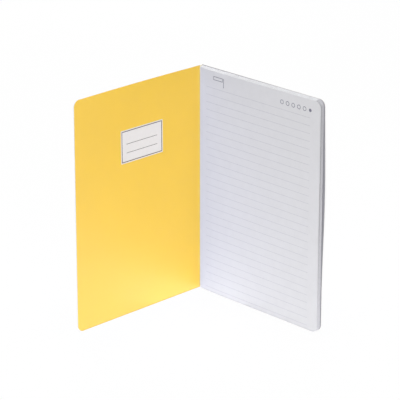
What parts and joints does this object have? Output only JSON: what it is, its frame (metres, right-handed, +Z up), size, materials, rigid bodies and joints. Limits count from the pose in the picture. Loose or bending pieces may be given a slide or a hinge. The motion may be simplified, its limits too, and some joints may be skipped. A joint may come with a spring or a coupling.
{
  "type": "lined notebook",
  "caption": "Thin softcover notebook with a square spine and rounded corners, standing open at its first ruled page; both card covers swing on their folds.",
  "frame": {"origin": "on the floor, in the middle of the footprint of the notebook as it stands open", "axes": "+Z up along the spine, +Y from the reader towards the spine, +X to the reader's right, on the side of the pages"},
  "size_m": [0.2108, 0.1104, 0.21],
  "materials": {
    "cover_card": "smooth matt yellow card",
    "page_paper": "uncoated white writing paper",
    "spine_glue": "dried cream binding glue",
    "ruling_ink": "pale grey printed line",
    "header_ink": "grey printed mark",
    "panel_white": "white printed field",
    "panel_ink": "grey printed line"
  },
  "bodies": {
    "pages": {"page_block": "page_paper", "spine_strip": "cover_card", "spine_adhesive": "spine_glue", "ruled_lines": "ruling_ink", "header_marks": "header_ink"},
    "front_board": {"front_cover": "cover_card", "name_panel": "panel_white", "panel_lines": "panel_ink"},
    "back_board": {"back_cover": "cover_card"}
  },
  "joints": [
    {"name": "front_fold", "type": "hinge", "parent": "pages", "child": "front_board", "pos_m": [-0.00113, 0.05129, 0], "axis": [0, 0, -1], "range_deg": [-88.5, 91.5]},
    {"name": "back_fold", "type": "hinge", "parent": "pages", "child": "back_board", "pos_m": [0.0026, 0.05485, 0], "axis": [0, 0, 1], "range_deg": [-0.3, 179.7]}
  ]
}
